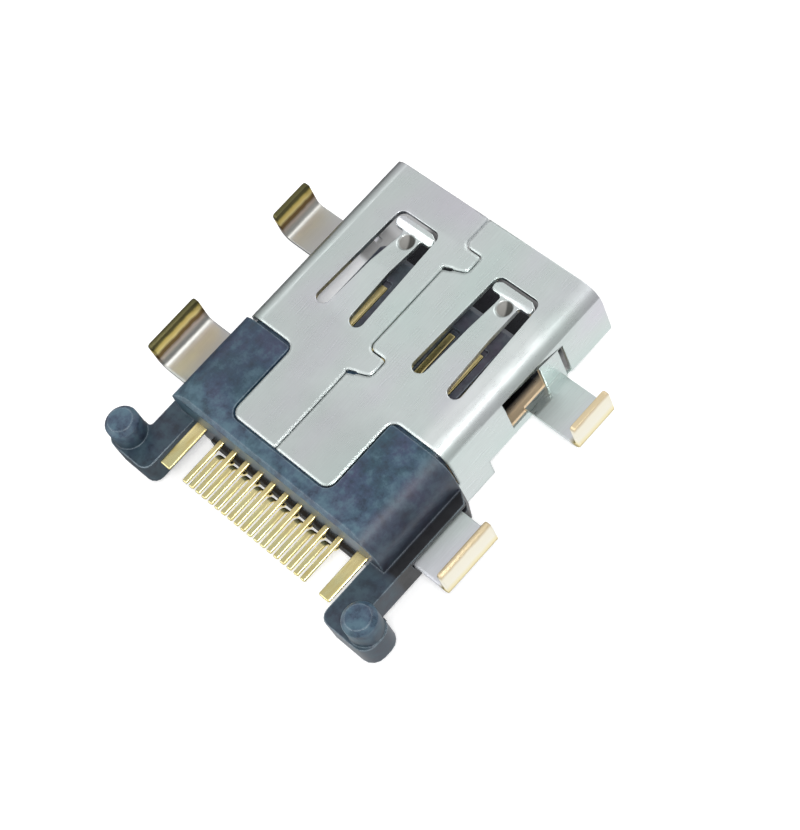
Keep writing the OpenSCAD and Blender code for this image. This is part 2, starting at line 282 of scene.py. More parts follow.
@dataclass(frozen=True)
class Zone:
    """Soft-edged part of a piece, in the part's own frame, where left is negative x.

    A ramp (axis, start, end) is 0 up to start and 1 from end on, in millimetres, with a
    straight line between them. Its start is the larger number where the share rises
    towards lower values. The axis is X, Y, Z, or R for the distance |x| from the middle
    plane. The zone's share is top times the product of its ramps.
    """

    ramps: tuple[tuple[str, float, float], ...]
    top: float = 1.0
    colour: Colour = (0.0, 0.0, 0.0)


@dataclass(frozen=True)
class Pattern:
    """Noise from 0 to 1 in a material, read from Object coordinates in metres.

    It has that many waves in a metre and that many finer layers, of which each keeps
    the share keep of the one before. The coordinates are first multiplied by stretch.
    """

    waves: float
    layers: float = 3.0
    keep: float = 0.5
    stretch: Point = (1.0, 1.0, 1.0)


class Finish(Graph):
    """Node tree of a material, which knows the place of the shaded point."""

    def __init__(self, name: str) -> None:
        """Starts the tree of a new material.

        Args:
            name: Name of the material.
        """
        super().__init__(bpy.data.materials.new(name))
        place = self.add("ShaderNodeTexCoord").outputs["Object"]
        split = self.add("ShaderNodeSeparateXYZ", {0: place}).outputs
        self.at = {axis: split[axis] for axis in "XYZ"}
        self.at["R"] = self.sum("ABSOLUTE", split["X"])

    def noise(self, pattern: Pattern) -> Socket:
        """Value of a pattern at the shaded point.

        Args:
            pattern: The pattern.

        Returns:
            The value socket, 0 to 1.
        """
        place = self.add("ShaderNodeTexCoord").outputs["Object"]
        place = self.add("ShaderNodeMapping", {"Vector": place, "Scale": pattern.stretch})
        return self.add("ShaderNodeTexNoise", {
            "Vector": place.outputs[0], "Scale": pattern.waves, "Detail": pattern.layers,
            "Roughness": pattern.keep}).outputs["Fac"]

    def zone(self, zone: Zone) -> Socket:
        """Share of a zone at the shaded point: top times the product of its ramps.

        Args:
            zone: The zone.

        Returns:
            The share socket.
        """
        (axis, start, end), *others = zone.ramps
        share = self.spread(self.at[axis], start * MM, end * MM, 0.0, zone.top)
        for axis, start, end in others:
            share = self.product(share, self.spread(self.at[axis], start * MM, end * MM))
        return share

    def tinted(self, tint: object, *zones: Zone) -> Socket:
        """Turns a colour towards the colour of each zone, by the zone's share.

        Args:
            tint: The colour to start from.
            zones: The zones, in order.

        Returns:
            The colour socket.
        """
        for zone in zones:
            tint = self.blend(self.zone(zone), tint, zone.colour)
        return tint


@dataclass(frozen=True)
class SatinNickel:
    """Satin nickel plate on stamped sheet, with gold-tinted solder legs, and with painted light and
    shade in places.
    """

    # The sheet: greys that drift, fine rolling grain and broad clouds.
    greys: Stops = (
        (0.34, (0.63, 0.725, 0.70)), (0.5, (0.66, 0.72, 0.71)), (0.66, (0.685, 0.68, 0.735)))
    scratch: Colour = (0.42, 0.43, 0.44)
    drift: Pattern = Pattern(190.0, 2.0, stretch=(1.0, 0.6, 1.0))
    grain: Pattern = Pattern(14000.0, 4.0, 0.6, (1.0, 0.06, 1.0))
    clouds: Pattern = Pattern(900.0, 4.0, 0.6)
    cloud_share: float = 0.5
    scratching: Line = (0.35, 0.65, 0.0, 0.16)
    polish: Line = (0.35, 0.65, 0.24, 0.36)
    grain_um: float = 0.6

    # Painted light on the outer faces: painted shade on the right half and at the rear, which
    # leaves out the fingers, and a painted highlight along the left rim.
    rear: Zone = Zone((("Y", 0.5, 2.5), ("X", -6.0, -5.0)), 0.26)
    right_half: Zone = Zone((("X", -1.0, 3.0),), 0.26)
    fingers: Zone = Zone((("Y", -8.6, -8.4), ("Y", -1.4, -2.2), ("X", 4.4, 4.2)))
    painted_shade_grey: Colour = (0.40, 0.42, 0.42)
    painted_rim_highlight: Zone = Zone(
        (("X", -5.2, -5.8), ("Y", -8.0, -6.5), ("X", -7.0, -6.7)), 0.5, (0.92, 0.95, 0.95))

    # The wings: a least roughness, and painted shade on the right one, short of its leg.
    wings: Zone = Zone((("R", 7.5, 8.0),), 0.45)
    right_wing_shade: Zone = Zone(
        (("R", 7.5, 8.0), ("X", -0.2, 0.0), ("R", 10.5, 10.1)), 0.495, (0.30, 0.29, 0.26))

    # The legs: bands by height, with an uneven line between them. Over the gold plate they paint
    # highlights, shade and reflections, differently on the left and right legs as the light falls
    # on each.
    legs: Zone = Zone((("R", 10.1, 10.5),))
    left_leg: Zone = Zone((("X", 0.0, -0.2),))
    leg_heights: Span = (2.25, 4.25)
    wobble: Pattern = Pattern(1500.0, stretch=(0.2, 1.0, 0.2))
    wobble_mm: Span = (-0.12, 0.12)
    right_bands: Stops = (
        (0.00, (0.50, 0.49, 0.46)),
        (0.14, (0.60, 0.60, 0.57)),
        (0.32, (0.64, 0.54, 0.46)),
        (0.44, (0.22, 0.14, 0.06)),
        (0.54, (0.24, 0.15, 0.06)),
        (0.64, (0.96, 0.80, 0.34)),
        (0.78, (0.84, 0.66, 0.20)),
        (0.87, (0.16, 0.14, 0.05)),
        (1.00, (0.12, 0.11, 0.05)),
    )
    left_bands: Stops = (
        (0.00, (0.34, 0.27, 0.08)),
        (0.10, (0.62, 0.50, 0.20)),
        (0.20, (0.93, 0.84, 0.52)),
        (0.40, (0.93, 0.90, 0.78)),
        (0.84, (0.92, 0.88, 0.74)),
        (0.96, (0.70, 0.58, 0.38)),
    )

    # The inside of the walls and of the floor, which are duller than the outside. Their colours
    # paint shade on the floor behind the mouth and at the front of the right wall, and light at its
    # rear.
    inside: Zone = Zone((("R", 7.17, 7.13), ("Z", 0.14, 0.16), ("Z", 4.4, 4.2)))
    slant: Span = (-5.7, -5.6)
    left_wall: Zone = Zone((("X", -5.3, -5.8),))
    right_wall: Zone = Zone((("X", 5.3, 5.8),))
    behind_mouth: Zone = Zone((("Y", -10.3, -9.3),))
    bronzed: Zone = Zone((("Y", -7.2, -6.6),))
    lit: Zone = Zone((("Y", -6.2, -5.7),))
    mouth_wall: Colour = (0.50, 0.50, 0.50)
    # Painted shade on the floor behind the mouth; the two wall colours below are painted shade and
    # painted light.
    deep: Colour = (0.045, 0.045, 0.05)
    bronze: Colour = (0.90, 0.70, 0.46)
    shaded_wall: Colour = (0.40, 0.40, 0.40)
    lit_wall: Colour = (0.92, 0.93, 0.94)
    dull_rough: float = 0.6
    dull_share: float = 0.8

    # The faint glow of both side walls, for light that bounces inside the shell.
    glow_rear: Zone = Zone((("Y", -6.1, -5.9),))
    glow_front: Zone = Zone((("Y", -7.9, -8.3),))
    right_glow: Line = (0.0, 1.0, 0.03, 0.24)
    left_glow: float = 0.06
    daylight: Colour = (0.97, 0.98, 1.0)

    # The dimple near the tip of each finger, tinted with painted shade, darker on its left side.
    pit: Colour = (0.24, 0.235, 0.22)
    pit_dark_shade: Colour = (0.05, 0.05, 0.045)
    pit_y: float = -7.1
    pit_rim: Span = (0.52, 0.40)
    pit_lean: float = 0.6
    pit_side: Span = (0.02, -0.10)
    roof: Zone = Zone((("Z", 4.3, 4.4),))

    # The sheared edges: small round the windows, larger behind them and at the seam.
    edges_mm: Span = (0.08, 0.28)
    behind_windows: Zone = Zone((("Y", -1.7, -1.5),))
    seam_x: float = -0.38
    seam_reach: Span = (1.7, 1.5)

    def material(self) -> bpy.types.Material:
        """Builds the finish.

        The legs take their bands and the inner faces their own tints, each over the
        grey sheet; both paint light and shade, as do the tints of the dimples, the right
        wing and parts of the outer faces. The inner faces of the side walls and the
        dimples count as dull: there the plate is rougher and less metallic.

        Returns:
            The material.
        """
        g = Finish("satin_nickel")
        grain, clouds = g.noise(self.grain), g.noise(self.clouds)
        left, right = g.zone(self.left_wall), g.zone(self.right_wall)
        slant = g.sum("SUBTRACT", g.at["Z"], g.at["R"])
        inside = g.product(g.zone(self.inside), g.spread(slant, *in_metres(self.slant)))
        # Painted highlights, shade and reflections in the legs' bands.
        tint = g.blend(g.zone(self.legs), self.sheet_tint(g, grain), self.leg_tint(g))
        # Painted light and shade on the faces inside the shell.
        tint = g.blend(inside, tint, self.inner_tint(g, left, right))
        dull = g.product(inside, g.sum("ADD", right, left))
        # Painted shade in the dimples.
        for mid in FINGERS_X:
            share, side = self.pit_share(g, mid)
            tint = g.blend(share, tint, g.blend(side, self.pit, self.pit_dark_shade))
            dull = g.sum("MAXIMUM", dull, share)
        # Painted shade on the right wing.
        tint = g.tinted(tint, self.right_wing_shade)
        clouds = g.product(clouds, self.cloud_share)
        rough = g.sum("ADD", g.product(grain, 1.0 - self.cloud_share), clouds)
        rough = g.sum("MAXIMUM", g.spread(rough, *self.polish), g.zone(self.wings))
        rough = g.sum("MAXIMUM", rough, g.product(dull, self.dull_rough))
        return g.shade(
            tint, rough, g.bump(grain, self.grain_um * MM, base=g.rolled(self.edge_radius(g))),
            Metallic=g.sum("SUBTRACT", 1.0, g.product(dull, self.dull_share)),
            Emission_Color=g.blend(left, self.daylight, self.bronze),
            Emission_Strength=g.product(self.glow(g, left, right), inside))

    def sheet_tint(self, g: Finish, grain: Socket) -> Socket:
        """Colour of the outer faces: drifting greys and grain, with painted shade and a painted
        highlight.

        Args:
            g: The tree.
            grain: The rolling grain, 0 to 1.

        Returns:
            The colour socket.
        """
        tint = g.ramp(g.noise(self.drift), self.greys)
        tint = g.blend(g.spread(grain, *self.scratching), tint, self.scratch)
        # Painted shade on the right half and at the rear.
        right = g.product(g.zone(self.right_half), g.sum("SUBTRACT", 1.0, g.zone(self.fingers)))
        tint = g.blend(g.sum("MAXIMUM", right, g.zone(self.rear)), tint, self.painted_shade_grey)
        # Painted highlight along the left rim.
        return g.tinted(tint, self.painted_rim_highlight)

    def leg_tint(self, g: Finish) -> Socket:
        """Colour of the legs: each leg's bands, by the height within leg_heights, with painted
        highlights, shade and reflections over the gold.

        Args:
            g: The tree.

        Returns:
            The colour socket.
        """
        uneven = g.spread(g.noise(self.wobble), 0.0, 1.0, *in_metres(self.wobble_mm))
        height = g.spread(g.sum("ADD", g.at["Z"], uneven), *in_metres(self.leg_heights))
        bands = g.ramp(height, self.right_bands), g.ramp(height, self.left_bands)
        return g.blend(g.zone(self.left_leg), *bands)

    def inner_tint(self, g: Finish, left: Socket, right: Socket) -> Socket:
        """Colour of the faces inside the shell, which paints their light and shade.

        The floor has painted shade behind the mouth. The left wall goes from grey to bronze
        and the right one from painted shade to painted light, each from front to rear.

        Args:
            g: The tree.
            left: Share of the left wall.
            right: Share of the right wall.

        Returns:
            The colour socket.
        """
        floor = g.blend(g.zone(self.behind_mouth), self.mouth_wall, self.deep)
        on_left = g.blend(g.zone(self.bronzed), self.mouth_wall, self.bronze)
        on_right = g.blend(g.zone(self.lit), self.shaded_wall, self.lit_wall)
        return g.blend(left, g.blend(right, floor, on_right), on_left)

    def glow(self, g: Finish, left: Socket, right: Socket) -> Socket:
        """Strength of the side walls' glow.

        The right wall glows by right_glow, which is full in glow_rear and glow_front,
        and the left wall by left_glow where it is bronze.

        Args:
            g: The tree.
            left: Share of the left wall.
            right: Share of the right wall.

        Returns:
            The strength socket.
        """
        ends = g.sum("MAXIMUM", g.zone(self.glow_rear), g.zone(self.glow_front))
        on_right = g.product(right, g.spread(ends, *self.right_glow))
        return g.sum("ADD", on_right, g.product(left, self.left_glow, g.zone(self.bronzed)))

    def edge_radius(self, g: Finish) -> Socket:
        """Radius of the sheared edges, from one to the other of edges_mm.

        Args:
            g: The tree.

        Returns:
            The radius socket, in metres.
        """
        aside = g.sum("ABSOLUTE", g.sum("SUBTRACT", g.at["X"], self.seam_x * MM))
        seam = g.spread(aside, *in_metres(self.seam_reach))
        wide = g.sum("MAXIMUM", g.zone(self.behind_windows), seam)
        return g.spread(wide, 0.0, 1.0, *in_metres(self.edges_mm))

    def pit_share(self, g: Finish, mid: float) -> tuple[Socket, Socket]:
        """Share of the dimple's painted shade round (mid, pit_y), and of its darker side.

        The first falls from 1 to 0 across pit_rim, by the distance from the middle. The
        second rises as dx + pit_lean * dy falls through pit_side, where dx and dy lead
        from the middle to the point.

        Args:
            g: The tree.
            mid: x of the dimple, in millimetres.

        Returns:
            The two share sockets.
        """
        dx = g.sum("SUBTRACT", g.at["X"], mid * MM)
        dy = g.sum("SUBTRACT", g.at["Y"], self.pit_y * MM)
        flat = g.add("ShaderNodeCombineXYZ", {0: dx, 1: dy}).outputs[0]
        away = g.add("ShaderNodeVectorMath", {0: flat}, operation="LENGTH").outputs["Value"]
        share = g.product(g.spread(away, *in_metres(self.pit_rim)), g.zone(self.roof))
        slope = g.sum("ADD", dx, g.product(dy, self.pit_lean))
        return share, g.spread(slope, *in_metres(self.pit_side))


@dataclass(frozen=True)
class GoldPlate:
    """Thin gold plate over nickel on the contact strips."""

    gold: Colour = (0.92, 0.76, 0.38)
    pale: Colour = (0.62, 0.58, 0.31)
    deep: Colour = (0.50, 0.36, 0.10)
    tails: Zone = Zone((("Y", 6.4, 8.6),))
    mottle: Pattern = Pattern(2600.0, 4.0, 0.6, (1.0, 0.35, 1.0))
    skin: Pattern = Pattern(20000.0, stretch=(1.0, 0.1, 1.0))
    staining: Line = (0.42, 0.72, 0.0, 0.55)
    polish: Line = (0.3, 0.7, 0.22, 0.36)
    skin_um: float = 0.6

    def material(self) -> bpy.types.Material:
        """Builds the finish: gold on the blades, paler on the tails that leave the rear face.

        Returns:
            The material.
        """
        g = Finish("gold_plate")
        mottle, skin = g.noise(self.mottle), g.noise(self.skin)
        tint = g.blend(g.zone(self.tails), self.gold, self.pale)
        tint = g.blend(g.spread(mottle, *self.staining), tint, self.deep)
        normal = g.bump(skin, self.skin_um * MM)
        return g.shade(tint, g.spread(mottle, *self.polish), normal, Metallic=1.0)


@dataclass(frozen=True)
class MouldedResin:
    """Glass-filled moulded resin: dark slate with cool and purple mottling."""

    name: str = "slate_resin"
    slate: Colour = (0.026, 0.052, 0.094)
    teal: Colour = (0.018, 0.050, 0.076)
    purple: Colour = (0.033, 0.043, 0.088)
    fleck: Colour = (0.074, 0.140, 0.180)
    broad: Pattern = Pattern(420.0, 3.0, 0.6)
    small: Pattern = Pattern(1500.0, 4.0, 0.65)
    skin: Pattern = Pattern(9000.0, 4.0, 0.6)
    hues: tuple[float, float, float] = (0.38, 0.5, 0.62)
    flecking: Line = (0.50, 0.70, 0.0, 0.7)
    hollows: Line = (0.30, 0.48, 0.75, 0.0)
    hollow_dark: float = 0.35
    polish: Line = (0.3, 0.7, 0.34, 0.50)
    gloss: float = 0.5
    skin_um: float = 4.0
    skin_share: float = 0.5

    # Painted sheen: paler at the rear and on the left, unevenly. Then the darker parts, each with
    # its colour: painted shade on the left side, the right front, the ledge and under the tails,
    # and low, which is darker towards the bottom.
    rear: Zone = Zone((("Y", 4.8, 6.2),), 0.34)
    left: Zone = Zone((("X", -4.5, -6.5),), 0.12)
    sheen_mottle: Line = (0.36, 0.60, 0.25, 1.75)
    left_side: Zone = Zone((("X", -6.3, -7.1), ("Y", 7.2, 6.8)), 0.45, (0.040, 0.028, 0.045))
    right_front: Zone = Zone((("X", 3.5, 5.0), ("Y", 5.6, 4.4)), 0.28, (0.006, 0.012, 0.030))
    low: Zone = Zone((("Z", 3.9, 2.7),), 0.55, (0.004, 0.006, 0.010))
    ledge: Zone = Zone(
        (("Z", 2.95, 2.75), ("R", 7.66, 7.80), ("Y", 6.7, 6.5)), 0.9, (0.003, 0.003, 0.004))
    under: Zone = Zone(
        (("Z", 2.9, 2.3), ("Y", 6.74, 6.76), ("R", 5.5, 5.4)), 0.95, (0.010, 0.006, 0.002))
    under_rough: float = 0.9

    # Painted highlight on the open edges, twice as strong on the posts as elsewhere.
    edge_highlight: Colour = (0.26, 0.33, 0.38)
    edge_mm: float = 0.12
    edge_turn: Span = (0.01, 0.08)
    highlight_spread: Line = (0.3, 0.6, 0.25, 0.8)
    open_mm: float = 0.6
    openness: Span = (0.55, 0.9)
    posts: Zone = Zone((("Y", 8.1, 8.4),))
    most_highlight: float = 0.9

    def material(self) -> bpy.types.Material:
        """Builds the finish.

        Two sizes of mottling and pale flecks come first, then the paler parts with painted
        sheen, the darker zones with painted shade and the darkening towards the bottom, the
        painted highlight on the edges and a fine moulded skin.

        Returns:
            The material.
        """
        g = Finish(self.name)
        small = g.noise(self.small)
        stops = tuple(zip(self.hues, (self.teal, self.slate, self.purple)))
        tint = g.ramp(g.noise(self.broad), stops)
        tint = g.blend(g.spread(small, *self.flecking), tint, self.fleck)
        hollow = tuple(c * self.hollow_dark for c in self.slate)
        tint = g.blend(g.spread(small, *self.hollows), tint, hollow)
        # Painted sheen at the rear and on the left.
        paled = g.sum("MAXIMUM", g.zone(self.rear), g.zone(self.left))
        tint = g.blend(g.product(paled, g.spread(small, *self.sheen_mottle)), tint, self.fleck)
        # Painted shade in its zones, and darker towards the bottom.
        tint = g.tinted(tint, self.left_side, self.right_front, self.low, self.ledge, self.under)
        soft = g.rolled(self.edge_mm * MM)
        # Painted highlight on the open edges.
        tint = g.blend(self.highlight_share(g, soft, small), tint, self.edge_highlight)
        rough = g.spread(small, *self.polish)
        rough = g.sum("MAXIMUM", rough, g.product(g.zone(self.under), self.under_rough))
        normal = g.bump(g.noise(self.skin), self.skin_um * MM, self.skin_share, soft)
        return g.shade(tint, rough, normal, Specular_IOR_Level=self.gloss)

    def highlight_share(self, g: Finish, soft: Socket, small: Socket) -> Socket:
        """Share of the painted edge highlight: high on edges that stand in the open, uneven along
        them.

        Args:
            g: The tree.
            soft: The rolled normal.
            small: The small mottling, 0 to 1.

        Returns:
            The share socket, at most most_highlight.
        """
        distance = {"Distance": self.open_mm * MM}
        free = g.add("ShaderNodeAmbientOcclusion", distance, samples=4).outputs["AO"]
        highlight_share = g.product(
            g.edges(soft, *self.edge_turn), g.spread(small, *self.highlight_spread),
            g.spread(free, *self.openness), g.sum("ADD", 1.0, g.zone(self.posts)))
        return g.sum("MINIMUM", highlight_share, self.most_highlight)


@dataclass(frozen=True)
class StudioFloor:
    """Pale matt floor that reads white to the camera and keeps the soft shadow."""

    pale: Colour = (0.80, 0.80, 0.80)
    clouds: Pattern = Pattern(30.0)
    clouding: Line = (0.3, 0.7, 0.0, 1.0)
    cloud_dark: float = 0.99
    lift: float = 0.38
    card_mm: Span = (3.0, 8.5)
    card: Span = (1.0, 0.22)

    def material(self) -> bpy.types.Material:
        """Builds the finish: a matt floor whose seen brightness is lifted by a fixed amount.

        The lift is added only for rays from the camera, so the floor lights the part as a
        plain pale floor does. Glossy faces see a card that falls from card[0] to card[1]
        between the two places card_mm along x.

        Returns:
            The material.
        """
        g = Finish("studio_floor")
        shadowed = tuple(c * self.cloud_dark for c in self.pale)
        tint = g.blend(g.spread(g.noise(self.clouds), *self.clouding), self.pale, shadowed)
        rays = g.add("ShaderNodeLightPath").outputs
        lift = g.product(rays["Is Camera Ray"], self.lift)
        glow = g.add("ShaderNodeEmission", {"Color": WHITE, "Strength": lift})
        matt = g.add("ShaderNodeBsdfDiffuse", {"Color": tint})
        both = g.add("ShaderNodeAddShader", {0: matt.outputs[0], 1: glow.outputs[0]})
        level = g.spread(g.at["X"], *in_metres(self.card_mm), *self.card)
        card = g.add("ShaderNodeEmission", {"Color": WHITE, "Strength": level})
        shown = {0: rays["Is Glossy Ray"], 1: both.outputs[0], 2: card.outputs[0]}
        pick = g.add("ShaderNodeMixShader", shown)
        g.tree.links.new(pick.outputs[0], g.output.inputs["Surface"])
        return g.owner


# ---- meshes ----


def link(name: str, data: bpy.types.ID) -> bpy.types.Object:
    """Puts a new object that holds a mesh, lamp or camera into the scene.

    Args:
        name: Name of the object.
        data: What it holds.

    Returns:
        The new object, at the origin.
    """
    piece = bpy.data.objects.new(name, data)
    bpy.context.scene.collection.objects.link(piece)
    return piece


def put_in(name: str, points: np.ndarray, faces: np.ndarray,
           smooth_deg: float = 30.0) -> bpy.types.Object:
    """Makes an object from arrays of points and quads.

    Args:
        name: Name of the piece.
        points: N x 3 array, metres, in the part's frame.
        faces: M x 4 array of point numbers.
        smooth_deg: Edges that turn less than this are shaded smooth.

    Returns:
        The new object, at the origin.
    """
    mesh = bpy.data.meshes.new(name)
    mesh.from_pydata(points, [], faces.tolist())
    mesh.update()
    soften_shading(mesh, smooth_deg)
    return link(name, mesh)


def soften_shading(mesh: bpy.types.Mesh, smooth_deg: float) -> None:
    """Shades a mesh smooth, apart from edges that turn more than smooth_deg."""
    mesh.polygons.foreach_set("use_smooth", np.ones(len(mesh.polygons), dtype=bool))
    mesh.set_sharp_from_angle(angle=math.radians(smooth_deg))


def read_points(mesh: bpy.types.Mesh) -> tuple[np.ndarray, np.ndarray]:
    """Reads where the points of a mesh are.

    Args:
        mesh: The mesh.

    Returns:
        The points as an N x 3 array, and the depth y + LENGTH/2 of each, in millimetres.
    """
    flat = np.empty(len(mesh.vertices) * 3)
    mesh.vertices.foreach_get("co", flat)
    points = flat.reshape(-1, 3) / MM
    return points, points[:, 1] + LENGTH / 2


def write_points(mesh: bpy.types.Mesh, points: np.ndarray) -> None:
    """Moves the points of a mesh to an N x 3 array of places, in millimetres."""
    mesh.vertices.foreach_set("co", (points * MM).ravel())
    mesh.update()


def swept_grid(rings: np.ndarray) -> tuple[np.ndarray, np.ndarray]:
    """Closes a row of equal rings into one skin with a fan-free cap at each end.

    Quad (i, j) joins points j and j + 1 of ring i to the same points of ring i + 1.
    Each cap pairs point j with its mirror point n - 1 - j, which closes an even ring
    with quads.

    Args:
        rings: S x N x 3 array, S rings of N points each, N even.

    Returns:
        The points as an array of S*N rows, and the quads.
    """
    stations, count, _ = rings.shape
    i, j = np.meshgrid(np.arange(stations - 1), np.arange(count), indexing="ij")
    nxt = (j + 1) % count
    here, on = i * count, (i + 1) * count
    sides = np.stack([here + j, here + nxt, on + nxt, on + j], axis=-1)
    k = np.arange(count // 2 - 1)
    cap = np.stack([k, count - 1 - k, count - 2 - k, k + 1], axis=-1)
    last = (stations - 1) * count
    end = np.stack([k, k + 1, count - 2 - k, count - 1 - k], axis=-1) + last
    return rings.reshape(-1, 3), np.concatenate([sides.reshape(-1, 4), cap, end])


def rounded_bend(path: np.ndarray, radius: float, steps: int = 6) -> np.ndarray:
    """Rounds each inner corner of an open flat path.

    A corner P between unit directions u (back) and v (on) has its arc centre at
    P + (u + v)/|u + v| * radius/sin(half), with half of the angle between u and v.

    Args:
        path: N x 2 corners.
        radius: Radius of every arc, in the path's unit.
        steps: Chords in an arc.

    Returns:
        The rounded path, M x 2.
    """
    parts = [path[:1]]
    for before, corner, after in zip(path[:-2], path[1:-1], path[2:]):
        u = (before - corner) / np.linalg.norm(before - corner)
        v = (after - corner) / np.linalg.norm(after - corner)
        half = math.acos(float(np.clip(u @ v, -1.0, 1.0))) / 2
        if half > math.radians(STRAIGHT_DEG / 2):
            parts.append(corner[None])
            continue
        centre = corner + (u + v) / np.linalg.norm(u + v) * radius / math.sin(half)
        start = corner + u * radius / math.tan(half) - centre
        side = -1.0 if u[0] * v[1] - u[1] * v[0] > 0 else 1.0
        angle = side * (math.pi - 2 * half) * np.linspace(0.0, 1.0, steps + 1)
        c, s = np.cos(angle), np.sin(angle)
        turn = np.stack([c, -s, s, c], -1).reshape(-1, 2, 2)
        parts.append(centre + turn @ start)
    parts.append(path[-1:])
    return np.concatenate(parts)


def strip_profile(corner: float = 0.62, steps: int = 5) -> np.ndarray:
    """Section of a coined strip as a unit square with rounded corners.

    Point k of a corner arc lies at the corner's centre plus corner*(cos a, sin a).

    Args:
        corner: Corner radius as a share of the half side.
        steps: Chords in a corner.

    Returns:
        N x 2 array between -1 and 1, going round once, N even.
    """
    angle = np.linspace(0.0, math.pi / 2, steps + 1)
    arc = corner * np.stack([np.cos(angle), np.sin(angle)], -1)
    quarters = []
    for turn in range(4):
        c, s = math.cos(turn * math.pi / 2), math.sin(turn * math.pi / 2)
        place = np.array([[c, s], [-s, c]])
        quarters.append((arc + (1.0 - corner)) @ place)
    return np.concatenate(quarters)


def formed_copy(node: str, name: str, bevel_mm: float, angle_deg: float = 28.0,
                segments: int = 2) -> bpy.types.Object:
    """Copies a CAD node with its edges rounded, and puts the copy in the node's place.

    The copy's doubled points are merged and its flat facets are joined, so that the
    Bevel modifier rounds only the real edges.

    Args:
        node: Name of the CAD node.
        name: Name of the copy.
        bevel_mm: Radius of the rounding.
        angle_deg: Edges that turn more than this are rounded.
        segments: Steps in the rounding.

    Returns:
        The copy, which stands for the node.
    """
    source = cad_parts[node]
    mesh = source.data.copy()
    mesh.name = name
    work = bmesh.new()
    work.from_mesh(mesh)
    bmesh.ops.remove_doubles(work, verts=work.verts, dist=SAME_POINT * MM)
    bmesh.ops.dissolve_limit(
        work, angle_limit=math.radians(FLAT_DEG), verts=work.verts, edges=work.edges)
    work.to_mesh(mesh)
    work.free()
    mesh.materials.clear()
    soften_shading(mesh, angle_deg)
    piece = link(name, mesh)
    round_off = piece.modifiers.new("edges", "BEVEL")
    round_off.width = bevel_mm * MM
    round_off.segments = segments
    round_off.limit_method = "ANGLE"
    round_off.angle_limit = math.radians(angle_deg)
    round_off.harden_normals = True
    round_off.use_clamp_overlap = False
    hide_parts(node)
    return piece


def settle(piece: bpy.types.Object, finish: bpy.types.Material) -> None:
    """Gives a piece its finish, and lets it ride on the part's one body.

    Args:
        piece: The piece.
        finish: Its material.
    """
    piece.data.materials.append(finish)
    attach(piece, BODY)
    log.info("%s: %d faces, finish %s", piece.name, len(piece.data.polygons), finish.name)


# ---- assemblies ----


@dataclass
class Shell:
    """Folded and punched metal shell with its fingers, wings and legs."""

    edge: float = 0.025
    finger_half: float = 1.4
    finger_depths: Span = (2.2, 8.9)
    finger_low: float = 4.0
    finger_rise: Span = (0.65, 0.3)
    slim: Span = (0.15, 0.07)
    slim_depths: Span = (4.4, 8.8)
    slim_across: tuple[float, ...] = (0.5, 0.7, 0.9, 1.3)
    lip_corner: Span = (0.93, 2.67)
    lip_radius: float = 0.46
    lip_back: float = 0.07
    lip_depths: Span = (2.4, 2.9)
    dip_depths: tuple[float, ...] = (2.27, 2.47, 2.92, 3.42, 5.40)
    dips: tuple[float, ...] = (0.05, 0.10, 0.45, 0.45, 0.0)
    finish: SatinNickel = field(default_factory=SatinNickel)

    def fit_fingers(self, mesh: bpy.types.Mesh) -> None:
        """Fits the spring fingers to the photograph: slimmer, and dipping less.

        A point belongs to a finger if it lies within finger_half of its middle, within
        finger_depths, above finger_low, and behind the lip's rounded corner. At the
        distance o from the middle it moves inwards by slim times a share, which rises
        and falls with o through slim_across. It rises by finger_rise times the dip at
        its depth, and moves back by up to lip_back at the lip's front.

        Args:
            mesh: The shell's copied mesh.
        """
        points, depth = read_points(mesh)
        slim = np.interp(depth, self.slim_depths, self.slim)
        dip = np.interp(depth, self.dip_depths, self.dips)
        back = np.interp(depth, self.lip_depths, (self.lip_back, 0.0))
        shallow, deep = self.finger_depths
        corner_x, corner_d = self.lip_corner
        for mid, rise in zip(FINGERS_X, self.finger_rise):
            off = points[:, 0] - mid
            o = np.abs(off)
            round_lip = np.hypot(o - corner_x, depth - corner_d) < self.lip_radius
            own = (depth > corner_d) | (o < corner_x) | round_lip
            own &= (o < self.finger_half) & (depth > shallow) & (depth < deep)
            own &= points[:, 2] > self.finger_low
            share = np.interp(o, self.slim_across, (0.0, 1.0, 1.0, 0.0))
            points[own, 0] -= (np.sign(off) * slim * share)[own]
            points[own, 2] += (rise * dip)[own]
            points[own, 1] += back[own]
        write_points(mesh, points)

    def build(self) -> None:
        """Fits the fingers, rounds the sheared edges and plates the sheet."""
        piece = formed_copy("shell", "shell_formed", self.edge, segments=3)
        self.fit_fingers(piece.data)
        settle(piece, self.finish.material())


